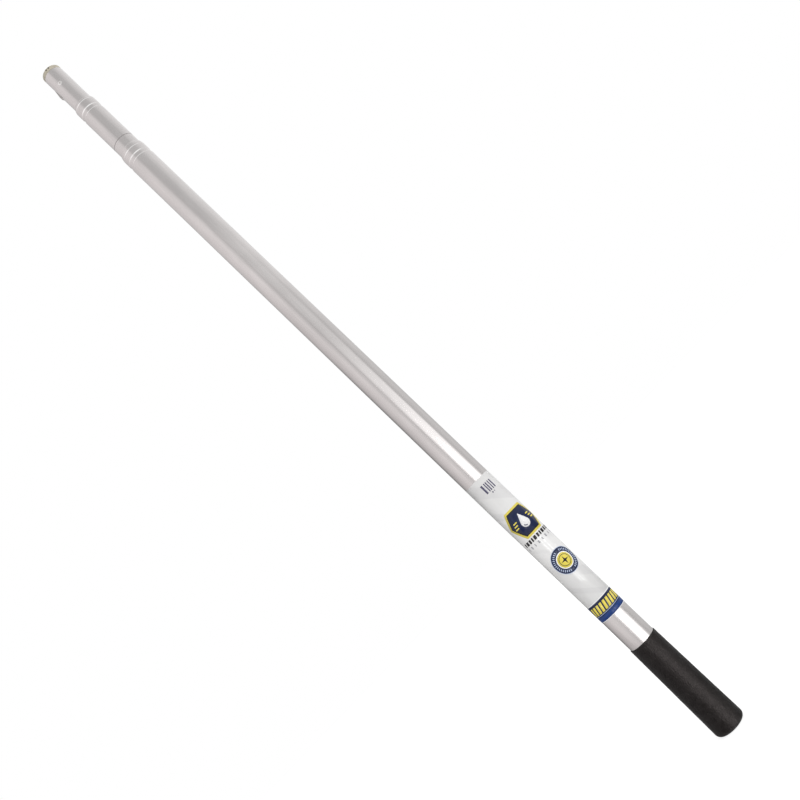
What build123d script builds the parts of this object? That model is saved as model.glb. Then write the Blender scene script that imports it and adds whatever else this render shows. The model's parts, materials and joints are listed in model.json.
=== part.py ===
from build123d import *
import os

os.makedirs("parts", exist_ok=True)

# Telescopic pole, closed. +Z runs from the grip to the tip, and the origin is the centre of
# the grip's lower end. The tool button faces -X and the front of the label faces -Y.
# All sizes are in millimetres.

# Three standard tubes that nest, all cut to the same length
tube_wall = 1.2
outer_r = 16.0
middle_r = 14.25
inner_r = 12.5
tube_length = 904.5
outer_base = 2.5
middle_base = 87.5
inner_base = 143.5
outer_bore = outer_r - tube_wall
middle_bore = middle_r - tube_wall
inner_bore = inner_r - tube_wall
outer_top = outer_base + tube_length
middle_top = middle_base + tube_length
inner_top = inner_base + tube_length

# Rolled groove and turned-in mouth at the top of the outer and middle tubes
slide_gap = 0.08
outer_mouth = 6.5
middle_mouth = 3.5
mouth_flat = 2.0
mouth_drop = 1.25
outer_groove = outer_top - 18.0
middle_groove = middle_top - 16.5
groove_half = 3.0
groove_flank = 0.9
groove_depth = 0.5
scribe_z = outer_top + 12.5
scribe_wide = 0.6
scribe_deep = 0.12

# Grip with its closed end, and the plug under it
grip_top = 117.6
grip_top_r = 16.8
grip_bottom_r = 18.15
grip_edge = 5.0
grip_lip = 0.6
butt_depth = 41.1
butt_wall = 2.2
butt_floor = 3.0

# Printed label round the outer tube
label_low = 156.9
label_high = 349.1
label_film = 0.1
label_seam = 3.0

# Twist locks: an eccentric journal turns inside a split ring and wedges it in the bore
cam_offset = 0.6
ring_gap = 0.4
run_gap = 0.05
end_play = 0.3
flange_thick = 2.0
ring_slot = 2.5
spigot_r = 5.2
washer_r = 7.6
washer_thick = 1.0
pin_r = 1.6
pin_short = 0.3
screw_r = 2.0
screw_bite = 14.0
screw_head_r = 3.9
screw_head = 2.4
screw_edge = 0.8
recess_long = 4.2
recess_wide = 1.0
recess_deep = 1.4

# Tip plug: cap with a rounded edge and two pry pockets in its side
tip_plug_depth = 48.0
cap_height = 5.9
cap_round = 2.0
pocket_x = (-1.5, 2.1)
pocket_wide = 1.6
pocket_in = 1.8
pocket_down = 1.2
pocket_tall = 1.9

# Ramped snap button on a foot behind the tube's wall, and its spring
button_low = 1016.9
button_high = 1031.5
button_peak_low = 1019.6
button_peak_high = 1020.9
button_proud = 1.45
button_wide = 5.0
button_edge = 0.4
button_play = 0.15
foot_out = 10.6
foot_thick = 1.3
foot_wide = 7.0
foot_over = 1.0
press_travel = 1.6
spring_z = 1023.5
spring_stop = 4.0
spring_coil_r = 1.9
spring_wire_r = 0.25
spring_turns = 6.5
spring_pocket_r = 2.5

# Dimpled rivet through the tip tube into its plug, a little towards the button from -Y
rivet_turn = -5.0
rivet_z = 1026.6
rivet_r = 2.6
rivet_shank = 6.0
rivet_dimple_r = 1.4
rivet_dimple = 1.2


def save(piece, name):
    """Label a finished sub-part and write its file."""
    piece.part.label = name
    export_step(piece.part, f"parts/{name}.step")


def guide_tube(base, tube_r, next_r, mouth, groove):
    """Tube whose rolled groove and turned-in mouth guide the next tube, of radius next_r."""
    bore_r = tube_r - tube_wall
    guide_r = next_r + slide_gap
    top = base + tube_length
    groove_low = groove - groove_half
    groove_high = groove + groove_half
    floor_low = groove_low + groove_flank
    floor_high = groove_high - groove_flank
    with BuildPart() as tube:
        with BuildSketch(Plane.XZ):
            with BuildLine():
                Polyline(
                    (bore_r, base),
                    (tube_r, base),
                    (tube_r, groove_low),
                    (tube_r - groove_depth, floor_low),
                    (tube_r - groove_depth, floor_high),
                    (tube_r, groove_high),
                    (tube_r, top - mouth),
                    (tube_r - mouth_drop, top),
                    (guide_r, top),
                    (guide_r, top - mouth_flat),
                    (bore_r, top - mouth),
                    (bore_r, groove_high),
                    (guide_r, floor_high),
                    (guide_r, floor_low),
                    (bore_r, groove_low),
                    close=True,
                )
            make_face()
        revolve(axis=Axis.Z)
    return tube


def cross_pin(reach, pin_z):
    """Plain pin along Y that reaches equally far on each side of the pole's axis."""
    with BuildPart() as pin:
        with BuildSketch(Plane.XZ.offset(-reach)):
            with Locations((0, pin_z)):
                Circle(pin_r)
        extrude(amount=2 * reach)
    return pin


def twist_lock(stage, base, tube_r, wall_bore, journal_r, ring_long, disc_long, plug_depth, pin_z):
    """Lock at the foot of the tube that starts at base. It wedges in a bore of radius wall_bore."""
    flange_low = base - flange_thick
    ring_low = flange_low - end_play - ring_long
    journal_low = ring_low - end_play
    disc_low = journal_low - end_play - disc_long
    spigot_low = disc_low - end_play
    washer_low = spigot_low - washer_thick
    head_low = washer_low - screw_head

    # Plug: its body is in the tube and its flange under it, then the journal and the spigot
    with BuildPart() as cam_plug:
        with BuildSketch(Plane.XY.offset(base)):
            Circle(tube_r - tube_wall)
        extrude(amount=plug_depth)
        with BuildSketch(Plane.XY.offset(flange_low)):
            Circle(tube_r)
        extrude(amount=flange_thick)
        with BuildSketch(Plane.XY.offset(journal_low)):
            with Locations((cam_offset, 0)):
                Circle(journal_r)
        extrude(amount=flange_low - journal_low)
        with BuildSketch(Plane.XY.offset(spigot_low)):
            Circle(spigot_r)
        extrude(amount=journal_low - spigot_low)
        with BuildSketch(Plane.XY.offset(spigot_low)):
            Circle(screw_r)
        extrude(amount=screw_bite, mode=Mode.SUBTRACT)
        add(cross_pin(tube_r, pin_z).part, mode=Mode.SUBTRACT)
    save(cam_plug, f"{stage}_cam_plug")

    save(cross_pin(tube_r - pin_short, pin_z), f"{stage}_plug_pin")

    # Split ring on the journal. Its bore is off centre, so its outside is centred at rest
    with BuildPart() as cam_ring:
        with BuildSketch(Plane.XY.offset(ring_low)):
            Circle(wall_bore - ring_gap)
            with Locations((cam_offset, 0)):
                Circle(journal_r + run_gap, mode=Mode.SUBTRACT)
            with Locations((wall_bore, 0)):
                Rectangle(wall_bore, ring_slot, mode=Mode.SUBTRACT)
        extrude(amount=ring_long)
    save(cam_ring, f"{stage}_cam_ring")

    # Guide disc that slides in the bore and doesn't turn with the plug
    with BuildPart() as guide_disc:
        with BuildSketch(Plane.XY.offset(disc_low)):
            Circle(wall_bore - run_gap)
            Circle(spigot_r + run_gap, mode=Mode.SUBTRACT)
        extrude(amount=disc_long)
    save(guide_disc, f"{stage}_guide_disc")

    with BuildPart() as washer:
        with BuildSketch(Plane.XY.offset(washer_low)):
            Circle(washer_r)
            Circle(screw_r, mode=Mode.SUBTRACT)
        extrude(amount=washer_thick)
    save(washer, f"{stage}_washer")

    # Pan-head screw with a cross recess that holds the stack on the spigot
    with BuildPart() as screw:
        with BuildSketch(Plane.XY.offset(head_low)):
            Circle(screw_head_r)
        extrude(amount=screw_head)
        fillet(screw.edges().group_by(Axis.Z)[0], radius=screw_edge)
        with BuildSketch(Plane.XY.offset(washer_low)):
            Circle(screw_r)
        extrude(amount=washer_thick + screw_bite)
        with BuildSketch(Plane.XY.offset(head_low)):
            Rectangle(recess_long, recess_wide)
            Rectangle(recess_wide, recess_long)
        extrude(amount=recess_deep, mode=Mode.SUBTRACT)
    save(screw, f"{stage}_screw")


# OUTER SECTION

save(guide_tube(outer_base, outer_r, middle_r, outer_mouth, outer_groove), "outer_tube")

# Moulded sleeve, slightly tapered, closed and rounded at its lower end
with BuildPart() as grip:
    with BuildSketch(Plane.XZ):
        with BuildLine():
            Polyline(
                (0, 0),
                (grip_bottom_r, 0),
                (grip_top_r, grip_top),
                (outer_r, grip_top),
                (outer_r, outer_base),
                (0, outer_base),
                close=True,
            )
        make_face()
    revolve(axis=Axis.Z)
    fillet(grip.edges().group_by(Axis.Z)[0], radius=grip_edge)
    fillet(grip.edges().group_by(Axis.Z)[-1].sort_by(SortBy.LENGTH)[-1], radius=grip_lip)
save(grip, "grip")

# Cup-shaped plug that closes the tube's lower end
with BuildPart() as butt_plug:
    with BuildSketch(Plane.XY.offset(outer_base)):
        Circle(outer_bore)
    extrude(amount=butt_depth)
    with BuildSketch(Plane.XY.offset(outer_base)):
        Circle(outer_bore - butt_wall)
    extrude(amount=butt_depth - butt_floor, mode=Mode.SUBTRACT)
save(butt_plug, "butt_plug")

# Thin film wrapped almost all round, its ends meeting at the back
with BuildPart() as label:
    with BuildSketch(Plane.XY.offset(label_low)):
        Circle(outer_r + label_film)
        Circle(outer_r, mode=Mode.SUBTRACT)
        with Locations((0, outer_r)):
            Rectangle(label_seam, outer_r, mode=Mode.SUBTRACT)
    extrude(amount=label_high - label_low)
save(label, "label")


# MIDDLE SECTION

middle_pin_z = middle_base + 12.0
twist_lock(
    "middle",
    base=middle_base,
    tube_r=middle_r,
    wall_bore=outer_bore,
    journal_r=10.4,
    ring_long=25.0,
    disc_long=12.0,
    plug_depth=24.1,
    pin_z=middle_pin_z,
)

# The same groove and mouth, a fine scribed line and the cross hole for the plug's pin
with BuildPart() as middle_tube:
    add(guide_tube(middle_base, middle_r, inner_r, middle_mouth, middle_groove).part)
    with BuildSketch(Plane.XY.offset(scribe_z)):
        Circle(outer_r)
        Circle(middle_r - scribe_deep, mode=Mode.SUBTRACT)
    extrude(amount=scribe_wide, mode=Mode.SUBTRACT)
    add(cross_pin(outer_r, middle_pin_z).part, mode=Mode.SUBTRACT)
save(middle_tube, "middle_tube")


# TIP SECTION

inner_pin_z = inner_base + 10.0
twist_lock(
    "inner",
    base=inner_base,
    tube_r=inner_r,
    wall_bore=middle_bore,
    journal_r=8.6,
    ring_long=16.0,
    disc_long=9.0,
    plug_depth=20.0,
    pin_z=inner_pin_z,
)

rivet_face = Plane.XZ.rotated((0, 0, rivet_turn))

# Plain tube with the pin's cross hole below, and the button's slot and the rivet's hole above
button_mid = (button_low + button_high) / 2
button_long = button_high - button_low
with BuildPart() as inner_tube:
    with BuildSketch(Plane.XY.offset(inner_base)):
        Circle(inner_r)
        Circle(inner_bore, mode=Mode.SUBTRACT)
    extrude(amount=tube_length)
    add(cross_pin(outer_r, inner_pin_z).part, mode=Mode.SUBTRACT)
    with BuildSketch(rivet_face):
        with Locations((0, rivet_z)):
            Circle(rivet_r)
    extrude(amount=outer_r, mode=Mode.SUBTRACT)
    with BuildSketch(Plane.YZ):
        with Locations((0, button_mid)):
            Rectangle(button_wide + 2 * button_play, button_long + 2 * button_play)
    extrude(amount=-outer_r, mode=Mode.SUBTRACT)
save(inner_tube, "inner_tube")

# Plug that closes the tip, with the button's pocket, the spring's bore and the rivet's hole
foot_long = button_long + 2 * foot_over
foot_in = foot_out - foot_thick
pocket_floor = foot_in - press_travel - button_play
with BuildPart() as tip_plug:
    with BuildSketch(Plane.XY.offset(inner_top - tip_plug_depth)):
        Circle(inner_bore)
    extrude(amount=tip_plug_depth)
    with BuildSketch(Plane.XY.offset(inner_top)):
        Circle(inner_r)
    extrude(amount=cap_height)
    fillet(tip_plug.edges().group_by(Axis.Z)[-1], radius=cap_round)
    with BuildSketch(Plane.XY.offset(inner_top + cap_height - pocket_down)):
        with Locations(*[(x, -inner_r) for x in pocket_x]):
            Rectangle(pocket_wide, 2 * pocket_in)
    extrude(amount=-pocket_tall, mode=Mode.SUBTRACT)
    with BuildSketch(Plane.YZ.offset(-pocket_floor)):
        with Locations((0, button_mid)):
            Rectangle(foot_wide + 2 * button_play, foot_long + 2 * button_play)
    extrude(amount=-outer_r, mode=Mode.SUBTRACT)
    with BuildSketch(Plane.YZ.offset(spring_stop)):
        with Locations((0, spring_z)):
            Circle(spring_pocket_r)
    extrude(amount=-outer_r, mode=Mode.SUBTRACT)
    with BuildSketch(rivet_face.offset(inner_r - rivet_shank)):
        with Locations((0, rivet_z)):
            Circle(rivet_r)
    extrude(amount=outer_r, mode=Mode.SUBTRACT)
save(tip_plug, "tip_plug")

# Rivet flush with the round of the tube, with a dimple in its head
with BuildPart() as tip_rivet:
    with BuildSketch(rivet_face.offset(inner_r - rivet_shank)):
        with Locations((0, rivet_z)):
            Circle(rivet_r)
    extrude(amount=rivet_shank)
    with BuildSketch(Plane.XY.offset(rivet_z - rivet_r)):
        Circle(inner_r)
    extrude(amount=2 * rivet_r, mode=Mode.INTERSECT)
    with BuildSketch(rivet_face.offset(inner_r - rivet_dimple)):
        with Locations((0, rivet_z)):
            Circle(rivet_dimple_r)
    extrude(amount=rivet_dimple, mode=Mode.SUBTRACT)
save(tip_rivet, "tip_rivet")

# Button: steep side towards the grip, gentle side towards the tip
peak_x = -inner_r - button_proud
with BuildPart() as snap_button:
    with BuildSketch(Plane.XZ):
        with BuildLine():
            Polyline(
                (-foot_out, button_low),
                (-inner_r, button_low),
                (peak_x, button_peak_low),
                (peak_x, button_peak_high),
                (-inner_r, button_high),
                (-foot_out, button_high),
                close=True,
            )
        make_face()
    extrude(amount=button_wide / 2, both=True)
    outside = snap_button.edges().filter_by(lambda edge: edge.center().X < -inner_r)
    fillet(outside, radius=button_edge)
    with BuildSketch(Plane.YZ.offset(-foot_out)):
        with Locations((0, button_mid)):
            Rectangle(foot_wide, foot_long)
    extrude(amount=foot_thick)
save(snap_button, "snap_button")

# Coil spring between the button's foot and the bottom of its bore
spring_long = foot_in + spring_stop - 2 * spring_wire_r
with BuildPart() as snap_spring:
    with BuildLine() as coil:
        Helix(
            pitch=spring_long / spring_turns,
            height=spring_long,
            radius=spring_coil_r,
            center=(spring_wire_r - foot_in, 0, spring_z),
            direction=(1, 0, 0),
        )
    with BuildSketch(Plane(origin=coil.line @ 0, z_dir=coil.line % 0)):
        Circle(spring_wire_r)
    sweep(is_frenet=True)
save(snap_spring, "snap_spring")
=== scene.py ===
import bmesh
import bpy
import json
import math
from mathutils import Matrix, Vector, noise


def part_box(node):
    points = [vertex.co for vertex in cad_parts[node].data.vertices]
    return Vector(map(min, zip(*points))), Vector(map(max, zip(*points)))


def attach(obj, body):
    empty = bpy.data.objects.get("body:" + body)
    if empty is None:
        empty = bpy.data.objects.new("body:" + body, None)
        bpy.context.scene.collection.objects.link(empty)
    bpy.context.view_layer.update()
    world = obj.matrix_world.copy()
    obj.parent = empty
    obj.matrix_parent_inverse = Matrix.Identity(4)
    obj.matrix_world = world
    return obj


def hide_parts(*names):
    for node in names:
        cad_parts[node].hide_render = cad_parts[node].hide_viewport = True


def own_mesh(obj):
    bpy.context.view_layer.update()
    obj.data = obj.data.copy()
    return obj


# Telescopic window cleaning pole, closed and upright along Z, with the front of its label
# towards -Y and its tool button towards -X. The scene is in metres, a value times MM is in
# millimetres, and the label's design is drawn in plain millimetres. Turned, wound and wrapped
# shapes are made here at full smoothness and stand for the CAD nodes they are named after.
MM = 0.001
TURN_STEPS = 160
AXIS_R = 0.0001 * MM
SLIVER = 0.001 * MM

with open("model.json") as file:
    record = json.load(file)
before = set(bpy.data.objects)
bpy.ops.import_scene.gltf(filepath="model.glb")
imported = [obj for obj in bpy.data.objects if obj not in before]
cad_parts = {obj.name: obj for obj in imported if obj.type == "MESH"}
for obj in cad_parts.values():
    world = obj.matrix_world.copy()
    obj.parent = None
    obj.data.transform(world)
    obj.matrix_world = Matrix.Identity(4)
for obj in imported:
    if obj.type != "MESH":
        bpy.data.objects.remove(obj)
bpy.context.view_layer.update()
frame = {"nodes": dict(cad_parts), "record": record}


# ---------------------------------------------------------------- mesh helpers

def finished(bm, name):
    """Mesh from a bmesh, which is freed."""
    mesh = bpy.data.meshes.new(name)
    bm.to_mesh(mesh)
    bm.free()
    return mesh


def placed(name, mesh, material=None):
    """Add a mesh to the scene as an object."""
    thing = bpy.data.objects.new(name, mesh)
    bpy.context.scene.collection.objects.link(thing)
    if material:
        mesh.materials.append(material)
    return thing


def new_piece(name, mesh, body, material, node=None):
    """Add a mesh as a piece that rides on a body, with a material.
    It may stand for a CAD node."""
    piece = placed(name, mesh, material)
    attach(piece, body)
    if node:
        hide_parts(node)
    return piece


def smooth(mesh, angle=math.radians(38)):
    """Smooth shading that keeps corners sharper than the angle."""
    mesh.shade_smooth()
    mesh.set_sharp_from_angle(angle=angle)


def rounded(points, steps=5):
    """Outline from (radius, height, corner) points: corners with a size become arcs."""
    line = []
    count = len(points)
    for i, (r, z, corner) in enumerate(points):
        here = Vector((r, z))
        if corner <= 0:
            line.append(here)
            continue
        before = (Vector(points[i - 1][:2]) - here).normalized()
        after = (Vector(points[(i + 1) % count][:2]) - here).normalized()
        half = before.angle(after) / 2
        centre = here + (before + after).normalized() * corner / math.sin(half)
        start = here + before * corner / math.tan(half) - centre
        end = here + after * corner / math.tan(half) - centre
        for k in range(steps + 1):
            line.append(centre + start.slerp(end, k / steps) * corner)
    return line


def turned(name, outline):
    """Mesh of revolution about Z from a closed outline of (radius, height) points."""
    bm = bmesh.new()
    rings = []
    for r, z in outline:
        if r < AXIS_R:
            rings.append([bm.verts.new((0, 0, z))] * TURN_STEPS)
            continue
        ring = []
        for k in range(TURN_STEPS):
            a = 2 * math.pi * k / TURN_STEPS
            ring.append(bm.verts.new((r * math.cos(a), r * math.sin(a), z)))
        rings.append(ring)
    for i, ring in enumerate(rings):
        upper = rings[(i + 1) % len(rings)]
        for k in range(TURN_STEPS):
            n = (k + 1) % TURN_STEPS
            corners = []
            for vert in (ring[k], ring[n], upper[n], upper[k]):
                if vert not in corners:
                    corners.append(vert)
            if len(corners) > 2:
                bm.faces.new(corners)
    bmesh.ops.recalc_face_normals(bm, faces=bm.faces)
    mesh = finished(bm, name)
    smooth(mesh)
    return mesh


def cut(piece, cutters, slot=0):
    """Subtract closed meshes from a piece for good, giving the cut faces a material slot.
    Slivers left along the cuts are dissolved."""
    for mesh in cutters:
        for face in mesh.polygons:
            face.material_index = slot
        tool = placed("cutter", mesh)
        step = piece.modifiers.new("cut", "BOOLEAN")
        step.operation = "DIFFERENCE"
        step.solver = "EXACT"
        step.object = tool
        graph = bpy.context.evaluated_depsgraph_get()
        result = bpy.data.meshes.new_from_object(piece.evaluated_get(graph))
        piece.modifiers.clear()
        piece.data = result
        bpy.data.objects.remove(tool)
    bm = bmesh.new()
    bm.from_mesh(piece.data)
    bmesh.ops.dissolve_degenerate(bm, edges=bm.edges, dist=SLIVER)
    bm.to_mesh(piece.data)
    bm.free()
    smooth(piece.data)


def rod_mesh(radius, place, length, sides=64):
    """Closed rod along a matrix's Z from its origin, used only as a cutter."""
    bm = bmesh.new()
    bmesh.ops.create_cone(
        bm,
        cap_ends=True,
        segments=sides,
        radius1=radius,
        radius2=radius,
        depth=length,
        matrix=place @ Matrix.Translation((0, 0, length / 2)),
    )
    return finished(bm, "rod")


def box_mesh(low, high):
    """Closed box between two corners, used only as a cutter."""
    bm = bmesh.new()
    bmesh.ops.create_cube(bm, size=1)
    size = [b - a for a, b in zip(low, high)]
    middle = [(a + b) / 2 for a, b in zip(low, high)]
    bmesh.ops.scale(bm, vec=size, verts=bm.verts)
    bmesh.ops.translate(bm, vec=middle, verts=bm.verts)
    return finished(bm, "box")


# ---------------------------------------------------------------- material helpers

def scaled(colour, share):
    """A colour made darker or lighter by a share, up to white."""
    return tuple(min(1, share * c) for c in colour)


class Shader:
    """A Principled material with short calls for the nodes that give it its detail."""

    def __init__(self, name, colour, rough, metal=0.0):
        self.material = bpy.data.materials.new(name)
        self.material.use_nodes = True
        self.nodes = self.material.node_tree.nodes
        self.links = self.material.node_tree.links
        self.surface = self.nodes["Principled BSDF"]
        self.set("Base Color", (*colour, 1))
        self.set("Roughness", rough)
        self.set("Metallic", metal)
        self.place = self.nodes.new("ShaderNodeTexCoord").outputs["Object"]

    def set(self, socket, value):
        self.surface.inputs[socket].default_value = value

    def link(self, output, socket):
        self.links.new(output, self.surface.inputs[socket])

    def noise(self, scale, detail=4.0, rough=0.55):
        """Noise whose scale is a number, or three for stretched grain, in cells a metre."""
        steps = (scale,) * 3 if isinstance(scale, (int, float)) else scale
        stretch = self.nodes.new("ShaderNodeMapping")
        stretch.inputs["Scale"].default_value = steps
        self.links.new(self.place, stretch.inputs["Vector"])
        texture = self.nodes.new("ShaderNodeTexNoise")
        texture.inputs["Scale"].default_value = 1
        texture.inputs["Detail"].default_value = detail
        texture.inputs["Roughness"].default_value = rough
        self.links.new(stretch.outputs["Vector"], texture.inputs["Vector"])
        return texture.outputs["Fac"]

    def stripes(self, value, scale, detail=1.0):
        """Noise along one value only, which makes bands across it."""
        texture = self.nodes.new("ShaderNodeTexNoise")
        texture.noise_dimensions = "1D"
        texture.inputs["Scale"].default_value = scale
        texture.inputs["Detail"].default_value = detail
        self.links.new(value, texture.inputs["W"])
        return texture.outputs["Fac"]

    def spread(self, value, low, high, to_low=0.0, to_high=1.0):
        """Map a value from one range to another, clamped."""
        node = self.nodes.new("ShaderNodeMapRange")
        node.clamp = True
        for name, number in zip(
            ("From Min", "From Max", "To Min", "To Max"), (low, high, to_low, to_high)
        ):
            node.inputs[name].default_value = number
        self.links.new(value, node.inputs["Value"])
        return node.outputs["Result"]

    def sum(self, operation, a, b):
        """One arithmetic node on two outputs or numbers."""
        node = self.nodes.new("ShaderNodeMath")
        node.operation = operation
        for socket, value in zip(node.inputs, (a, b)):
            if isinstance(value, (int, float)):
                socket.default_value = value
            else:
                self.links.new(value, socket)
        return node.outputs[0]

    def mix(self, factor, a, b):
        """Blend two colours, each three numbers or an output."""
        node = self.nodes.new("ShaderNodeMix")
        node.data_type = "RGBA"
        self.links.new(factor, node.inputs["Factor"])
        for socket, value in ((node.inputs[6], a), (node.inputs[7], b)):
            if isinstance(value, (tuple, list)):
                socket.default_value = (*value, 1)
            else:
                self.links.new(value, socket)
        return node.outputs[2]

    def axis(self, name):
        """Distance along one axis of the pole's own frame."""
        split = self.nodes.new("ShaderNodeSeparateXYZ")
        self.links.new(self.place, split.inputs[0])
        return split.outputs[name]

    def bump(self, value, depth, strength):
        """Add a relief of a depth in metres on top of any the surface has."""
        node = self.nodes.new("ShaderNodeBump")
        node.inputs["Strength"].default_value = strength
        node.inputs["Distance"].default_value = depth
        self.links.new(value, node.inputs["Height"])
        before = self.surface.inputs["Normal"]
        if before.is_linked:
            self.links.new(before.links[0].from_socket, node.inputs["Normal"])
        self.link(node.outputs["Normal"], "Normal")


PAINTED_HIGHLIGHT_FADE = (4 * MM, 12.5 * MM)


def tube_metal(name, tint, rough=0.21, painted_highlight_fade_tint=None):
    """Drawn aluminium: lines along the tube, smudges and patches dulled by handling.
    A second tint, if given, takes over towards the two sides, which makes a painted highlight in
    the first tint fade out round the tube."""
    m = Shader(name, tint, rough, metal=1.0)
    grain = m.noise((5200, 5200, 22), detail=4, rough=0.6)
    streak = m.noise((1100, 1100, 5), detail=3, rough=0.5)
    smudge = m.noise((75, 75, 22), detail=5, rough=0.6)
    dull = m.spread(smudge, 0.42, 0.7)
    colour = m.mix(m.spread(grain, 0.3, 0.7), scaled(tint, 0.9), scaled(tint, 1.05))
    colour = m.mix(m.spread(streak, 0.4, 0.62, 0, 0.5), colour, scaled(tint, 0.93))
    colour = m.mix(m.sum("MULTIPLY", dull, 0.6), colour, scaled(tint, 0.86))
    # Painted highlight: the first tint stays near the front and back and gives way to the second
    # towards the sides.
    if painted_highlight_fade_tint:
        highlight_fade_share = m.spread(m.sum("ABSOLUTE", m.axis("X"), 0), *PAINTED_HIGHLIGHT_FADE)
        colour = m.mix(highlight_fade_share, colour, painted_highlight_fade_tint)
    m.link(colour, "Base Color")
    drawn = m.spread(grain, 0.25, 0.75, rough - 0.05, rough + 0.03)
    soft = m.sum("ADD", drawn, m.sum("MULTIPLY", dull, 0.05))
    m.link(m.sum("SUBTRACT", soft, m.spread(streak, 0.55, 0.7, 0, 0.04)), "Roughness")
    m.bump(grain, 0.002 * MM, 0.4)
    m.bump(streak, 0.003 * MM, 0.3)
    return m.material


def grip_rubber():
    """Black moulded vinyl with a wrinkled leathery grain, a little paler where hands polish it."""
    m = Shader("grip_rubber", (0.005, 0.0045, 0.0044), 0.4)
    m.set("Specular IOR Level", 0.22)
    m.set("Specular Tint", (1.0, 0.9, 0.88, 1))
    drift = m.noise((120, 120, 120), detail=2)
    wrinkle = m.noise((230, 230, 200), detail=3, rough=0.6)
    crease = m.sum("ABSOLUTE", m.sum("SUBTRACT", wrinkle, 0.5), 0)
    fine = m.noise(1500, detail=3, rough=0.6)
    worn = m.spread(m.noise((70, 70, 35), detail=3), 0.42, 0.7)
    colour = m.mix(m.spread(wrinkle, 0.4, 0.62), (0.0026, 0.0022, 0.0021), (0.007, 0.0062, 0.006))
    m.link(m.mix(m.sum("MULTIPLY", worn, 0.4), colour, (0.011, 0.01, 0.0098)), "Base Color")
    m.link(m.spread(drift, 0.35, 0.65, 0.48, 0.34), "Roughness")
    m.bump(crease, 1.7 * MM, 0.6)
    m.bump(drift, 1.2 * MM, 0.4)
    m.bump(fine, 0.08 * MM, 0.5)
    return m.material


def film(name, colour, wear=0.04):
    """Gloss printed film: slight unevenness in the ink under a clear coat."""
    m = Shader(name, colour, 0.4)
    m.set("Coat Weight", 0.3)
    m.set("Coat IOR", 1.8)
    m.set("Coat Roughness", 0.03)
    m.set("Specular IOR Level", 0.06)
    patch = m.noise((170, 170, 120), detail=4)
    speck = m.noise(3800, detail=2)
    pale = tuple(c + (1 - c) * wear for c in colour)
    ink = m.mix(m.spread(patch, 0.35, 0.7), colour, pale)
    m.link(m.mix(m.spread(speck, 0.62, 0.75, 0, 0.3), ink, scaled(colour, 0.82)), "Base Color")
    m.link(m.spread(speck, 0.3, 0.7, 0.34, 0.44), "Roughness")
    m.bump(m.noise((300, 300, 200), detail=2), 0.01 * MM, 0.15)
    return m.material


def plastic(name, colour, rough=0.45, dirt=(0.3, 0.26, 0.2)):
    """Moulded plastic with faint flow marks and a little dirt in the grain."""
    m = Shader(name, colour, rough)
    m.set("Specular IOR Level", 0.4)
    flow = m.noise((260, 260, 90), detail=4)
    fine = m.noise(2400, detail=3)
    soiled = m.spread(m.noise((500, 500, 700), detail=4), 0.52, 0.72, 0, 0.45)
    body = m.mix(m.spread(flow, 0.35, 0.7), scaled(colour, 0.9), colour)
    m.link(m.mix(soiled, body, tuple(c * d for c, d in zip(colour, dirt))), "Base Color")
    m.link(m.spread(fine, 0.3, 0.7, rough - 0.06, rough + 0.08), "Roughness")
    m.bump(fine, 0.03 * MM, 0.5)
    return m.material


def steel(name, colour=(0.5, 0.49, 0.48), rough=0.34):
    """Plated steel with fine scratches and dulled patches."""
    m = Shader(name, colour, rough, metal=1.0)
    scratch = m.noise((3000, 3000, 500), detail=4)
    dull = m.noise(420, detail=3)
    shade = m.mix(m.spread(scratch, 0.3, 0.7), scaled(colour, 0.85), colour)
    m.link(m.mix(m.spread(dull, 0.5, 0.75, 0, 0.4), shade, scaled(colour, 0.7)), "Base Color")
    m.link(m.spread(dull, 0.3, 0.7, rough - 0.08, rough + 0.12), "Roughness")
    m.bump(scratch, 0.01 * MM, 0.5)
    return m.material


# ---------------------------------------------------------------- tubes and grip

TUBE_TINT = (0.615, 0.589, 0.583)
WALL = 1.2 * MM
GROOVE_HALF = 3.0 * MM
GROOVE_FLANK = 0.9 * MM
GROOVE_FLOOR = GROOVE_HALF - GROOVE_FLANK
GROOVE_DEPTH = 0.5 * MM
GROOVE_EDGE_R = 1.5 * MM
GROOVE_FLOOR_R = 0.6 * MM
MOUTH_DROP = 1.25 * MM
MOUTH_FLAT = 2.0 * MM
LIP_OUT_R = 0.2 * MM
LIP_IN_R = 0.15 * MM
SLIDE_GAP = 0.08 * MM
BEAD = 1.1 * MM
SCRIBE_HALF = 0.3 * MM
SCRIBE_DEPTH = 0.12 * MM
RING_PAINT_OVER = 0.3 * MM


def groove(radius, centre, depth):
    """Corners of a rolled groove, from below to above."""
    return [
        (radius, centre - GROOVE_HALF, GROOVE_EDGE_R),
        (radius - depth, centre - GROOVE_FLOOR, GROOVE_FLOOR_R),
        (radius - depth, centre + GROOVE_FLOOR, GROOVE_FLOOR_R),
        (radius, centre + GROOVE_HALF, GROOVE_EDGE_R),
    ]


def turned_mouth(radius, top, mouth, steps=12):
    """Points of the tube's outside where it curves in to its mouth, and its rounded lip."""
    bend = 2 * math.atan(MOUTH_DROP / mouth)
    sweep = mouth / math.sin(bend)
    line = []
    for k in range(steps):
        t = bend * k / steps
        line.append((radius - sweep * (1 - math.cos(t)), top - mouth + sweep * math.sin(t), 0))
    return line + [(radius - MOUTH_DROP, top, LIP_OUT_R)]


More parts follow.
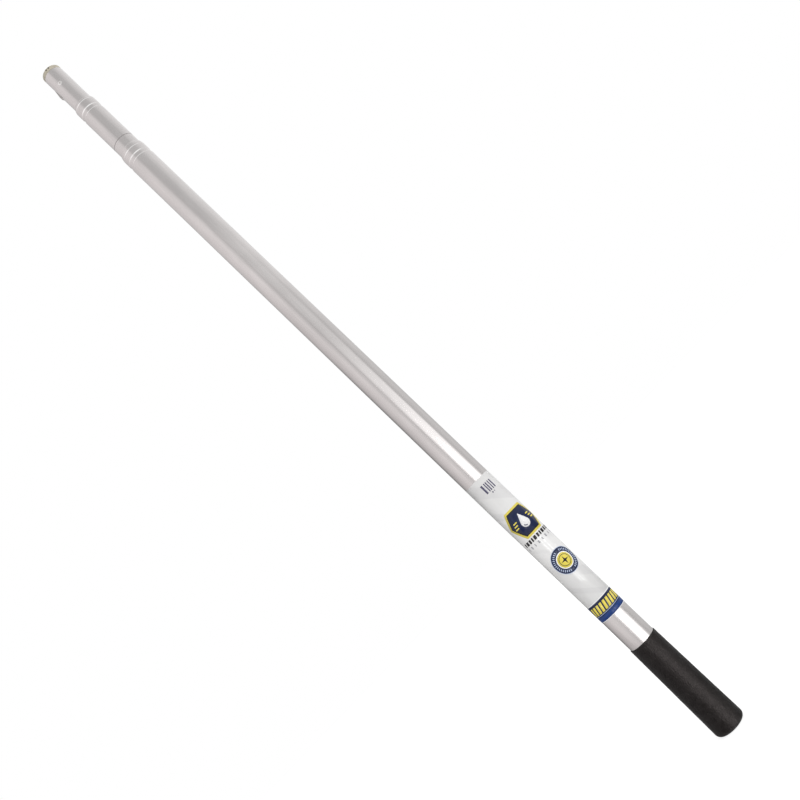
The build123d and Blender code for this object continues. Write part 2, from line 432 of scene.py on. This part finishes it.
def guide_tube(node, body, metal, next_r, groove_down, mouth, scribe=None):
    """Tube with a rolled groove and a turned-in mouth, on the CAD tube's radius and ends,
    with rings of painted highlight at the groove's edges and the mouth, and painted shade in its
    scribe line.
    """
    low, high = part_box(node)
    radius, base, top = high.x, low.z, high.z
    bore, guide, ring = radius - WALL, next_r + SLIDE_GAP, top - groove_down
    outline = [(bore, base, 0), (radius, base, 0), *groove(radius, ring, GROOVE_DEPTH)]
    if scribe:
        line = [(0, -1), (SCRIBE_DEPTH, -0.5), (SCRIBE_DEPTH, 0.5), (0, 1)]
        outline[2:2] = [(radius - drop, scribe + side * SCRIBE_HALF, 0) for drop, side in line]
    outline += [(radius, top - mouth - BEAD, 0), *turned_mouth(radius, top, mouth)]
    outline += [
        (guide, top, LIP_IN_R),
        (guide, top - MOUTH_FLAT, 0),
        (bore, top - mouth, 0),
        *reversed(groove(bore, ring, bore - guide)),
    ]
    mesh = turned(node, rounded(outline))
    piece = new_piece(node + "_turned", mesh, body, metal, node)
    # Rings of painted highlight, partly real burnish, on the groove's edges and the mouth's
    # shoulder.
    paint_rings(piece, burnish_and_painted_highlight, [
        (ring - GROOVE_HALF - 0.5 * MM, ring - GROOVE_HALF + RING_PAINT_OVER),
        (ring + GROOVE_FLOOR - 0.2 * MM, ring + GROOVE_HALF + RING_PAINT_OVER),
        (top - mouth - BEAD, top - mouth + 0.1 * MM),
    ])
    # Painted shade: the scribe groove's faces are coloured dark.
    if scribe:
        paint_rings(piece, scribe_painted_shade, [(scribe - SCRIBE_HALF, scribe + SCRIBE_HALF)])


def paint_rings(piece, material, spans):
    """Give the faces of the outside between pairs of heights a material of their own."""
    piece.data.materials.append(material)
    index = len(piece.data.materials) - 1
    for face in piece.data.polygons:
        outward = face.normal.x * face.center.x + face.normal.y * face.center.y > 0
        if outward and any(low < face.center.z < high for low, high in spans):
            face.material_index = index


outer_low, outer_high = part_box("outer_tube")
middle_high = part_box("middle_tube")[1]
inner_low, inner_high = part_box("inner_tube")
# Bright aluminium for the rings: partly burnish, partly a painted highlight that fades towards the
# sides.
burnish_and_painted_highlight = tube_metal("burnish_and_painted_highlight_aluminium", (0.95, 0.94, 0.93), 0.18, painted_highlight_fade_tint=TUBE_TINT)
# Dark aluminium for the scribe line, painted shade in the groove.
scribe_painted_shade = tube_metal("scribe_painted_shade_aluminium", (0.22, 0.2, 0.2), rough=0.5)

guide_tube(
    "outer_tube",
    "outer_section",
    tube_metal("outer_aluminium", TUBE_TINT),
    middle_high.x,
    groove_down=18 * MM,
    mouth=6.5 * MM,
)
guide_tube(
    "middle_tube",
    "middle_section",
    tube_metal("middle_aluminium", scaled(TUBE_TINT, 0.98)),
    inner_high.x,
    groove_down=16.5 * MM,
    mouth=3.5 * MM,
    scribe=outer_high.z + 12.8 * MM,
)

# Tip tube: plain, with the slot for the button and the hole for the rivet
RIVET_TURN = math.radians(-5)
RIVET_SHANK = 6 * MM
TIP_EDGE_R = 0.2 * MM
BUTTON_HALF = 2.5 * MM
PLAY = 0.15 * MM
FOOT_OVER = 1.0 * MM
button_low, button_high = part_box("snap_button")
rivet_low, rivet_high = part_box("tip_rivet")
inner_r = inner_high.x
inner_bore = inner_r - WALL
tip_outline = [
    (inner_bore, inner_low.z, 0),
    (inner_r, inner_low.z, TIP_EDGE_R),
    (inner_r, inner_high.z, TIP_EDGE_R),
    (inner_bore, inner_high.z, 0),
]
tip_tube = new_piece(
    "inner_tube_turned",
    turned("inner_tube", rounded(tip_outline)),
    "tip_section",
    tube_metal("inner_aluminium", scaled(TUBE_TINT, 0.98)),
    "inner_tube",
)
slot_half = BUTTON_HALF + PLAY
slot = box_mesh(
    (-2 * inner_r, -slot_half, button_low.z + FOOT_OVER - PLAY),
    (0, slot_half, button_high.z - FOOT_OVER + PLAY),
)
rivet_r = (rivet_high.z - rivet_low.z) / 2
rivet_axis = (
    Matrix.Translation((0, 0, rivet_low.z + rivet_r))
    @ Matrix.Rotation(RIVET_TURN, 4, "Z")
    @ Matrix.Rotation(math.pi / 2, 4, "X")
)
rivet_hole = rivet_axis @ Matrix.Translation((0, 0, inner_r - RIVET_SHANK))
cut(tip_tube, [slot, rod_mesh(rivet_r, rivet_hole, inner_r)])

# Tip plug: cap with a rounded edge and two pry pockets, and the button's and rivet's places
plug_low, plug_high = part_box("tip_plug")
spring_low, spring_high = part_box("snap_spring")
joints = {joint["name"]: joint for joint in frame["record"]["behaviour"]["joints"]}
press_travel = joints["button_press"]["range_m"][1]
PRY_X = (-1.5 * MM, 2.1 * MM)
PRY_HALF = 0.8 * MM
PRY_IN = 1.8 * MM
PRY_DOWN = 1.2 * MM
PRY_TALL = 1.9 * MM
SPRING_BORE_R = 2.5 * MM
PLUG_FOOT_R = 0.8 * MM
CAP_SEAT_R = 0.25 * MM
CAP_TOP_R = 2.0 * MM
tip_plastic = plastic("tip_plastic", (0.4, 0.365, 0.29), rough=0.42)
plug_outline = [
    (0, plug_low.z, 0),
    (inner_bore, plug_low.z, PLUG_FOOT_R),
    (inner_bore, inner_high.z, 0),
    (inner_r, inner_high.z, CAP_SEAT_R),
    (inner_r, plug_high.z, CAP_TOP_R),
    (0, plug_high.z, 0),
]
tip_plug = new_piece(
    "tip_plug_moulded",
    turned("tip_plug", rounded(plug_outline, steps=8)),
    "tip_section",
    tip_plastic,
    "tip_plug",
)
# The pry pockets' cut faces get a darker plastic, painted shade in the recesses.
tip_plug.data.materials.append(plastic("shaded_plastic", (0.1, 0.088, 0.062), rough=0.7))
pry_top = plug_high.z - PRY_DOWN
pry_pockets = [
    box_mesh(
        (x - PRY_HALF, -2 * inner_r, pry_top - PRY_TALL),
        (x + PRY_HALF, PRY_IN - inner_r, pry_top),
    )
    for x in PRY_X
]
cut(tip_plug, pry_pockets, slot=1)
pocket_half = button_high.y + PLAY
pocket = box_mesh(
    (-2 * inner_r, -pocket_half, button_low.z - PLAY),
    (button_high.x + press_travel + PLAY, pocket_half, button_high.z + PLAY),
)
spring_axis = Matrix.Translation((spring_high.x, 0, (spring_low.z + spring_high.z) / 2))
spring_bore = spring_axis @ Matrix.Rotation(-math.pi / 2, 4, "Y")
cut(tip_plug, [
    pocket,
    rod_mesh(SPRING_BORE_R, spring_bore, inner_r),
    rod_mesh(rivet_r, rivet_hole, inner_r),
])

# Spring behind the button
WIRE_R = 0.25 * MM
SPRING_TURNS = 6.5


def coil(name, low, high, steps=20, sides=10):
    """Wire wound about a line along X, filling the box between two corners."""
    bm = bmesh.new()
    count = round(SPRING_TURNS * steps)
    middle = (low + high) / 2
    reach = (high.y - low.y) / 2 - WIRE_R
    long = high.x - low.x - 2 * WIRE_R
    along_x = Vector((WIRE_R, 0, 0))
    turns = [2 * math.pi * j / sides for j in range(sides)]
    rings = []
    for k in range(count + 1):
        angle = 2 * math.pi * k / steps
        out = Vector((0, math.cos(angle), math.sin(angle)))
        on_line = Vector((low.x + WIRE_R + long * k / count, middle.y, middle.z))
        centre = on_line + out * reach
        rings.append([
            bm.verts.new(centre + out * WIRE_R * math.cos(t) + along_x * math.sin(t))
            for t in turns
        ])
    for ring, after in zip(rings, rings[1:]):
        for j in range(sides):
            n = (j + 1) % sides
            bm.faces.new((ring[j], ring[n], after[n], after[j]))
    bm.faces.new(rings[0])
    bm.faces.new(rings[-1])
    bmesh.ops.recalc_face_normals(bm, faces=bm.faces)
    mesh = finished(bm, name)
    smooth(mesh)
    return mesh


plated = steel("bright_steel")
spring = new_piece(
    "spring_coil",
    coil("spring", spring_low, spring_high),
    "tip_section",
    plated,
    "snap_spring",
)
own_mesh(spring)

# Grip: slightly tapered sleeve with a closed, rounded lower end and a soft top edge
grip_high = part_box("grip")[1]
outer_r = outer_high.x
GRIP_TOP_R = 16.8 * MM
GRIP_BOTTOM_R = 18.15 * MM
GRIP_LIP = 0.6 * MM
GRIP_EDGE = 5.0 * MM
GRAIN_STEP = 0.8 * MM
GRAIN_DEPTH = 0.11 * MM
GRAIN_CELLS = 260


def leathery(mesh, bottom, top):
    """Press a shallow wrinkled grain into the outside wall between two heights."""
    for vert in mesh.vertices:
        radius = vert.co.xy.length
        if radius < outer_r + GRIP_LIP / 2 or not bottom < vert.co.z < top:
            continue
        ends = min(vert.co.z - bottom, top - vert.co.z) / GRIP_EDGE
        fold = min(1, 2 * abs(noise.fractal(vert.co * GRAIN_CELLS, 0.8, 2, 3)))
        shrink = 1 - GRAIN_DEPTH * (1 - fold) * min(1, ends) / radius
        vert.co.x *= shrink
        vert.co.y *= shrink


grip_outline = [(0, 0, 0), (GRIP_BOTTOM_R, 0, GRIP_EDGE)]
rise = grip_high.z - GRIP_EDGE - GRIP_LIP
for k in range(1, int(rise / GRAIN_STEP)):
    z = GRIP_EDGE + k * GRAIN_STEP
    share = z / grip_high.z
    grip_outline.append((GRIP_BOTTOM_R + (GRIP_TOP_R - GRIP_BOTTOM_R) * share, z, 0))
grip_outline += [
    (GRIP_TOP_R, grip_high.z, GRIP_LIP),
    (outer_r, grip_high.z, 0),
    (outer_r, outer_low.z, 0),
    (0, outer_low.z, 0),
]
grip_mesh = turned("grip", rounded(grip_outline, steps=10))
leathery(grip_mesh, GRIP_EDGE, grip_high.z - GRIP_LIP)
grip = new_piece(
    "grip_moulded", grip_mesh, "outer_section", grip_rubber(), "grip"
)
# Painted shade: the grip's rounded top lip is dark and rough, a painted shadow line at its edge.
grip_lip_painted_shade = plastic("grip_lip_painted_shade", (0.0035, 0.003, 0.003), rough=0.8)
paint_rings(grip, grip_lip_painted_shade, [(grip_high.z - GRIP_LIP, grip_high.z + GRIP_LIP)])


# ---------------------------------------------------------------- label

LABEL_TURN = math.radians(17)
FILM = 0.1 * MM
LABEL_R = outer_r + FILM
LAYER = 0.012 * MM
LABEL_GAP = 3.0
label_low, label_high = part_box("label")
label_tall = (label_high.z - label_low.z) / MM
label_round = 2 * math.pi * LABEL_R / MM - LABEL_GAP


def wrap(piece_name, faces, layer, material, turn=LABEL_TURN, step=0.7 * MM):
    """Bend flat faces onto the label, as a thin print on the layers below.
    Their points are (mm round, mm above the label's foot)."""
    bm = bmesh.new()
    for outline in faces:
        bm.faces.new([bm.verts.new((s * MM, z * MM, 0)) for s, z in outline])
    bmesh.ops.remove_doubles(bm, verts=bm.verts, dist=LAYER / 10)
    left = min(v.co.x for v in bm.verts)
    right = max(v.co.x for v in bm.verts)
    for k in range(1, int((right - left) / step) + 1):
        bmesh.ops.bisect_plane(
            bm,
            geom=bm.verts[:] + bm.edges[:] + bm.faces[:],
            plane_co=(left + k * step, 0, 0),
            plane_no=(1, 0, 0),
        )
    bmesh.ops.remove_doubles(bm, verts=bm.verts, dist=LAYER)
    radius = LABEL_R + layer * LAYER
    for vert in bm.verts:
        angle = turn + vert.co.x / LABEL_R
        height = label_low.z + vert.co.y
        vert.co = (radius * math.sin(angle), -radius * math.cos(angle), height)
    bmesh.ops.recalc_face_normals(bm, faces=bm.faces)
    for face in bm.faces:
        middle = face.calc_center_median()
        if face.normal.x * middle.x + face.normal.y * middle.y < 0:
            face.normal_flip()
    mesh = finished(bm, piece_name)
    mesh.shade_smooth()
    piece = new_piece(piece_name, mesh, "outer_section", material)
    thick = piece.modifiers.new("thickness", "SOLIDIFY")
    thick.thickness = (layer + 1) * LAYER if layer else FILM
    thick.offset = -1
    return piece


def rectangle(s, z, wide, tall, slant=0.0):
    """Corners of a bar centred at (s, z), leaning by slant from foot to head."""
    w, h, k = wide / 2, tall / 2, slant / 2
    return [(s - w - k, z - h), (s + w - k, z - h), (s + w + k, z + h), (s - w + k, z + h)]


def hoop(z, tall):
    """Corners of a band right round the label, centred at a height."""
    return rectangle(0, z, label_round, tall)


def arc_band(s, z, inside, outside, start=0, end=360, steps=72):
    """Quads of a ring, or of part of one between two angles in degrees."""
    count = max(2, round(steps * (end - start) / 360))
    faces = []
    for k in range(count):
        a, b = (math.radians(start + (end - start) * (k + j) / count) for j in (0, 1))
        corners = [(inside, a), (outside, a), (outside, b), (inside, b)]
        faces.append([(s + r * math.cos(t), z + r * math.sin(t)) for r, t in corners])
    return faces


def disc(s, z, radius, steps=72):
    """Outline of a round spot."""
    turns = [2 * math.pi * k / steps for k in range(steps)]
    return [(s + radius * math.cos(t), z + radius * math.sin(t)) for t in turns]


def droplet(s, z, radius, tip, steps=28):
    """Outline of a water drop: a round foot whose sides run up to a point."""
    line = [(s, z + tip)]
    for k in range(steps + 1):
        t = math.radians(150 + 240 * k / steps)
        line.append((s + radius * math.cos(t), z + radius * math.sin(t)))
    return line


navy = film("navy_ink", (0.0, 0.007, 0.046), wear=0.002)
blue = film("blue_ink", (0.0, 0.028, 0.15), wear=0.002)
yellow = film("yellow_ink", (0.7, 0.58, 0.07))
black = film("black_ink", (0.004, 0.0035, 0.004), wear=0.004)
white = film("white_ink", (0.8, 0.8, 0.8))
grey = film("grey_ink", (0.3, 0.3, 0.32))
violet = film("violet_grey_ink", (0.06, 0.055, 0.11))
pale_blue = film("pale_blue_ink", (0.4, 0.47, 0.62))


def label_ground():
    """Pale grey gloss film with large soft slanting shapes printed in it."""
    m = Shader("label_ground", (0.63, 0.625, 0.62), 0.4)
    m.set("Coat Weight", 1.0)
    m.set("Coat IOR", 1.65)
    m.set("Coat Roughness", 0.03)
    m.set("Specular IOR Level", 0.06)
    lean = m.sum("ADD", m.sum("MULTIPLY", m.axis("X"), 0.9), m.axis("Z"))
    shape = m.spread(m.stripes(lean, 38), 0.46, 0.5)
    tone = m.mix(shape, (0.61, 0.605, 0.605), (0.665, 0.66, 0.655))
    cloud = m.noise((140, 140, 60), detail=3)
    m.link(m.mix(m.spread(cloud, 0.35, 0.7, 0, 0.4), tone, (0.63, 0.625, 0.62)), "Base Color")
    m.link(m.spread(m.noise(2200), 0.3, 0.7, 0.34, 0.42), "Roughness")
    m.bump(m.noise((220, 220, 120), detail=2), 0.01 * MM, 0.15)
    return m.material


# The film itself, with its two ends a little apart at the back
ground = wrap(
    "label_film",
    [hoop(label_tall / 2, label_tall)],
    0,
    label_ground(),
    turn=0,
    step=0.5 * MM,
)
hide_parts("label")

# Band at the foot, each hoop by its middle and its width up the pole: navy field, mid-blue
# stripe, light line and white edges, with slanting yellow marks on the field
FIELD = (10.4, 20.0)
STRIPE = (3.2, 5.4)
LINE = (7.1, 0.5)
EDGES = [(0.25, 0.5), (20.8, 0.8)]
MARKS_AT = 13.0
MARK_SIZE = (3.0, 9.4)
MARK_STEP = 4.6
MARK_SLANT = 2.4
wrap("band_navy", [hoop(*FIELD)], 1, navy, turn=0)
wrap("band_blue", [hoop(*STRIPE)], 2, blue, turn=0)
wrap("band_line", [hoop(*LINE)], 2, pale_blue, turn=0)
wrap("band_edges", [hoop(*edge) for edge in EDGES], 2, white, turn=0)
marks = [rectangle(MARK_STEP * k, MARKS_AT, *MARK_SIZE, slant=MARK_SLANT) for k in range(-5, 6)]
wrap("band_marks", marks, 2, yellow)

# Round badge: navy ring with light ticks, white ring, yellow disc with a dark spark
BADGE = 71.4
BADGE_R = 15.0
RING_R = 14.4
TICKS_R = (10.7, 12.9)
WHITE_R = 9.2
DISC_R = 8.2
CIRCLE_R = (5.9, 6.5)
SPARK_REACH = (5.0, 1.35)
wrap("badge_rim", arc_band(0, BADGE, RING_R, BADGE_R), 1, pale_blue)
wrap("badge_ring", arc_band(0, BADGE, WHITE_R, RING_R), 1, navy)
ticks = []
for k in range(36):
    if k % 18 not in (8, 9):
        ticks += arc_band(0, BADGE, *TICKS_R, 10 * k + 2, 10 * k + 6.5)
wrap("badge_ticks", ticks, 2, pale_blue)
wrap("badge_white", arc_band(0, BADGE, DISC_R, WHITE_R), 1, white)
wrap("badge_disc", [disc(0, BADGE, DISC_R)], 1, yellow)
wrap("badge_circle", arc_band(0, BADGE, *CIRCLE_R), 2, black)
spark = []
for k in range(8):
    reach = SPARK_REACH[k % 2]
    angle = math.pi * k / 4
    spark.append((reach * math.sin(angle), BADGE + reach * math.cos(angle)))
wrap("badge_spark", [spark], 2, black)

# Two rows of plain blocks where such labels carry words
DARK_ROW = 108.5
DARK_TALL = 4.4
DARK_START = -21.0
DARK_GAP = 1.2
GREY_ROW = 102.6
GREY_TALL = 3.2
GREY_STEP = 5.2
row = []
at = DARK_START
for k in range(11):
    wide = 1.9 + 0.7 * (k * 5 % 3)
    row.append(rectangle(at + wide / 2, DARK_ROW, wide, DARK_TALL, slant=0.5))
    at += wide + DARK_GAP
wrap("row_dark", row, 1, black)
row = [
    rectangle(GREY_STEP * k, GREY_ROW, 1.1 + 0.7 * (k % 2), GREY_TALL) for k in range(-4, 5)
]
wrap("row_grey", row, 1, grey)

# Emblem: a six-sided plaque, yellow edge, black keyline and navy field with a white drop,
# and three short bars on each side of it
EMBLEM = 129.45
PLAQUE_WIDE = 20.6
PLAQUE_TALL = 17.3
PLAQUE_FLAT = 11.2
KEYLINE_IN = 2.3
FIELD_IN = 3.5
DROP_AT = EMBLEM - 3.0
DROP_R = 5.2
DROP_TIP = 12.2
GLINT_R = (2.9, 3.9)
GLINT_TURN = (200, 265)
BARS_AT = 10.6
BARS_STEP = (1.3, 3.0)
BAR_SIZE = (4.6, 1.3)


def plaque(inset):
    """Outline of the plaque, pointed at its two sides, inset all round."""
    wide, tall = PLAQUE_WIDE - 1.25 * inset, PLAQUE_TALL - inset
    flat = PLAQUE_FLAT - 0.55 * inset
    corners = [(wide, 0), (flat, tall), (-flat, tall), (-wide, 0), (-flat, -tall), (flat, -tall)]
    return [(s, EMBLEM + z) for s, z in corners]


wrap("emblem_edge", [plaque(0)], 1, yellow)
wrap("emblem_keyline", [plaque(KEYLINE_IN)], 2, black)
wrap("emblem_field", [plaque(FIELD_IN)], 3, navy)
wrap("emblem_drop", [droplet(0, DROP_AT, DROP_R, DROP_TIP)], 4, white)
wrap("emblem_glint", arc_band(0, DROP_AT, *GLINT_R, *GLINT_TURN), 5, navy)
for side, side_name in ((-1, "left"), (1, "right")):
    bars = [
        rectangle(side * (BARS_AT + BARS_STEP[0] * k), EMBLEM - BARS_STEP[1] * k, *BAR_SIZE)
        for k in (-1, 0, 1)
    ]
    wrap(f"emblem_bars_{side_name}", bars, 4, yellow)

# Small block of five lines near the top, each by its place round and width, with two marks
# below it
LINES = [(6.0, 1.6), (3.1, 1.2), (0.2, 1.4), (-2.2, 1.3), (-5.8, 2.2)]
LINES_AT = 179.2
LINES_TALL = 10.8
DOTS = [(-1.0, 1.3), (1.6, 0.8)]
DOTS_AT = 171.5
DOTS_TALL = 1.6
lines = [rectangle(s, LINES_AT, wide, LINES_TALL) for s, wide in LINES]
wrap("line_block", lines, 1, violet)
dots = [rectangle(s, DOTS_AT, wide, DOTS_TALL) for s, wide in DOTS]
wrap("line_marks", dots, 1, violet)


# ---------------------------------------------------------------- carried-over CAD nodes

nylon = plastic("plug_nylon", (0.7, 0.69, 0.64), dirt=(0.7, 0.68, 0.62))
lock = plastic("lock_nylon", (0.035, 0.035, 0.038), rough=0.5, dirt=(1.6, 1.6, 1.6))
looks = {
    "snap_button": steel("button_steel", (0.5, 0.485, 0.47), 0.36),
    "tip_rivet": steel("rivet_steel", (0.88, 0.86, 0.85), 0.22),
    "butt_plug": nylon,
}
for stage in ("middle", "inner"):
    looks[f"{stage}_cam_plug"] = nylon
    looks[f"{stage}_guide_disc"] = nylon
    looks[f"{stage}_cam_ring"] = lock
    looks[f"{stage}_plug_pin"] = plated
    looks[f"{stage}_washer"] = plated
    looks[f"{stage}_screw"] = plated
for node, material in looks.items():
    mesh = frame["nodes"][node].data
    mesh.materials.clear()
    mesh.materials.append(material)


# ---------------------------------------------------------------- studio

def staged(name, mesh, material, unseen_by):
    """Add a studio object that the named kinds of ray don't meet."""
    thing = placed(name, mesh, material)
    for ray in unseen_by:
        setattr(thing, "visible_" + ray, False)


def pale_floor():
    """Plain white floor, a little lit from within so that it stays pale."""
    m = Shader("pale_floor", (0.25, 0.25, 0.25), 0.8)
    m.set("Specular IOR Level", 0.1)
    m.set("Emission Color", (1, 1, 1, 1))
    m.set("Emission Strength", 0.85)
    return m.material


FLOOR_HALF = 12
bm = bmesh.new()
bmesh.ops.create_grid(bm, x_segments=4, y_segments=4, size=FLOOR_HALF)
staged("floor", finished(bm, "floor"), pale_floor(), ["glossy"])

# Reflector round the pole, seen only in glossy surfaces. Each row of panels is a list of
# (degrees round from the front, positive towards +X; brightness), and the rows blend into
# each other, from the lowest up, between the heights in ROW_AT. On top of them lies a lamp:
# a soft band and two thin bright tubes, which both fade upwards.
TENT_R = 0.45
TENT_LOW = -0.6
TENT_TOP = 2.2
TENT_TINT = (1.02, 0.987, 0.99)
ROW_AT = [(-0.02, 0.04), (0.58, 0.74), (0.74, 0.9), (0.93, 1.06)]
ROWS = [
    [
        (-180, 0.35), (-120, 0.4), (-60, 0.42), (-15, 0.55), (0, 0.9), (45, 0.95), (90, 0.5),
        (150, 0.35), (180, 0.35),
    ],
    [
        (-180, 0.6), (-158, 0.25), (-143, 0.33), (-110, 0.74), (-66, 1.0), (-48, 1.08),
        (-31, 1.04), (0, 0.7), (60, 0.7), (86, 0.82), (109, 0.93), (143, 0.76), (180, 0.7),
    ],
    [
        (-180, 0.85), (-160, 0.5), (-145, 0.55), (-116, 0.79), (-90, 0.87), (-50, 0.98),
        (-33, 0.95), (-16, 0.77), (0, 0.6), (33, 0.73), (69, 0.73), (90, 0.92), (116, 0.95),
        (180, 0.85),
    ],
    [
        (-180, 0.9), (-158, 0.55), (-139, 0.75), (-119, 0.9), (-92, 1.02), (-51, 1.14),
        (-33, 1.09), (-16, 0.88), (0, 0.75), (33, 0.81), (70, 0.98), (104, 1.13), (140, 1.1),
        (180, 0.9),
    ],
    [
        (-180, 0.9), (-158, 0.6), (-144, 0.75), (-115, 0.92), (-90, 1.0), (-60, 1.06),
        (-30, 1.04), (-8, 0.73), (0, 0.7), (48, 0.72), (62, 0.9), (95, 1.07), (140, 1.1),
        (180, 0.9),
    ],
]
LAMP = [(-10, 0), (2, 1), (55, 1), (68, 0)]
LAMP_FADE = [
    (0, 1), (0.38, 1), (0.43, 0.77), (0.5, 0.64), (0.61, 0.36), (0.75, 0.14), (0.93, 0.1),
    (1, 0.03),
]
LAMP_LEVEL = 1.42
TUBES = [(7.8, 0), (8.6, 0.8), (9.4, 0.8), (10.2, 0), (29.4, 0), (30.4, 1), (31.6, 1), (32.6, 0)]
TUBES_FADE = [(0, 1), (0.36, 1), (0.46, 0)]
TUBES_LEVEL = 10.0


def ramp(shader, value, stops):
    """Grey level straight between stops, whose places run from 0 to 1."""
    node = shader.nodes.new("ShaderNodeValToRGB")
    points = node.color_ramp.elements
    while len(points) < len(stops):
        points.new(0.5)
    for point, (place, level) in zip(points, stops):
        point.position = place
        point.color = (level, level, level, 1)
    shader.links.new(value, node.inputs["Fac"])
    return node.outputs["Color"]


def round_ramp(shader, value, stops):
    """The same round the reflector, for stops in degrees."""
    return ramp(shader, value, [((angle + 180) / 360, level) for angle, level in stops])


def tent_light():
    """Light that depends only on the place on the reflector."""
    m = Shader("reflector", (0, 0, 0), 1)
    height = m.axis("Z")
    angle = m.sum("ARCTAN2", m.axis("X"), m.sum("MULTIPLY", m.axis("Y"), -1))
    share = m.sum("ADD", m.sum("DIVIDE", angle, 2 * math.pi), 0.5)
    level = round_ramp(m, share, ROWS[0])
    for row, (low, high) in zip(ROWS[1:], ROW_AT):
        level = m.mix(m.spread(height, low, high), level, round_ramp(m, share, row))
    for stops, fade, most in ((LAMP, LAMP_FADE, LAMP_LEVEL), (TUBES, TUBES_FADE, TUBES_LEVEL)):
        bright = m.sum("MULTIPLY", ramp(m, height, fade), most)
        level = m.sum("ADD", level, m.sum("MULTIPLY", round_ramp(m, share, stops), bright))
    glow = m.nodes.new("ShaderNodeEmission")
    side = m.spread(m.axis("X"), -TENT_R, TENT_R / 4)
    m.links.new(m.mix(side, TENT_TINT, (1.0, 1.0, 1.0)), glow.inputs["Color"])
    m.links.new(level, glow.inputs["Strength"])
    m.links.new(glow.outputs[0], m.nodes["Material Output"].inputs["Surface"])
    return m.material


bm = bmesh.new()
tent_tall = TENT_TOP - TENT_LOW
bmesh.ops.create_cone(bm, segments=128, radius1=TENT_R, radius2=TENT_R, depth=tent_tall)
bmesh.ops.translate(bm, vec=(0, 0, (TENT_TOP + TENT_LOW) / 2), verts=bm.verts)
only_glossy = ["camera", "diffuse", "transmission", "shadow"]
staged("reflector", finished(bm, "reflector"), tent_light(), only_glossy)

# Black flag behind the pole's left side, which only diffuse surfaces see
FLAG_TURN = math.radians(-122)
FLAG_AWAY = 0.2
FLAG_SIZE = (0.22, 1.6)
bm = bmesh.new()
bmesh.ops.create_grid(bm, x_segments=1, y_segments=1, size=0.5)
flag_place = (
    Matrix.Rotation(FLAG_TURN, 4, "Z")
    @ Matrix.Translation((0, -FLAG_AWAY, FLAG_SIZE[1] / 2))
    @ Matrix.Rotation(math.pi / 2, 4, "X")
    @ Matrix.Diagonal((*FLAG_SIZE, 1, 1))
)
bmesh.ops.transform(bm, matrix=flag_place, verts=bm.verts)
cloth = Shader("flag_cloth", (0.01, 0.01, 0.01), 1).material
staged("flag", finished(bm, "flag"), cloth, ["camera", "glossy", "shadow"])


def softbox(name, place, aim, size, power):
    """Large rectangular lamp pointed at a place, seen neither directly nor in reflections."""
    lamp = bpy.data.lights.new(name, "AREA")
    lamp.shape = "RECTANGLE"
    lamp.size, lamp.size_y = size
    lamp.energy = power
    holder = bpy.data.objects.new(name, lamp)
    holder.location = place
    holder.rotation_euler = (Vector(aim) - Vector(place)).to_track_quat("-Z", "Y").to_euler()
    holder.visible_camera = False
    holder.visible_glossy = False
    bpy.context.scene.collection.objects.link(holder)


softbox("key", place=(1.3, -1.5, 1.6), aim=(0, 0, 0.5), size=(1.2, 1.2), power=14)

world = bpy.data.worlds.new("studio")
world.use_nodes = True
sky = world.node_tree.nodes["Background"]
sky.inputs["Color"].default_value = (1, 1, 1, 1)
sky.inputs["Strength"].default_value = 1.0
bpy.context.scene.world = world
bpy.context.scene.view_settings.view_transform = "Standard"


# ---------------------------------------------------------------- camera

# The camera stands level with the lower half of the pole, looks a little up it, and is
# rolled so that the pole lies across the picture with its tip at the upper left
CAMERA = Vector((0.006, -0.9429, 0.3028))
TILT = math.radians(10.03)
ROLL = math.radians(43.73)
LENS = 39.6
SENSOR = 36

ahead = Vector((0, math.cos(TILT), math.sin(TILT)))
along = Vector((0, -math.sin(TILT), math.cos(TILT)))
across = Vector((1, 0, 0))
right = across * math.sin(ROLL) - along * math.cos(ROLL)
up = across * math.cos(ROLL) + along * math.sin(ROLL)
lens = bpy.data.cameras.new("camera")
lens.lens = LENS
lens.sensor_width = SENSOR
lens.clip_start = 0.01
camera = bpy.data.objects.new("camera", lens)
facing = Matrix((right, up, -ahead)).transposed().to_4x4()
camera.matrix_world = Matrix.Translation(CAMERA) @ facing
bpy.context.scene.collection.objects.link(camera)
bpy.context.scene.camera = camera
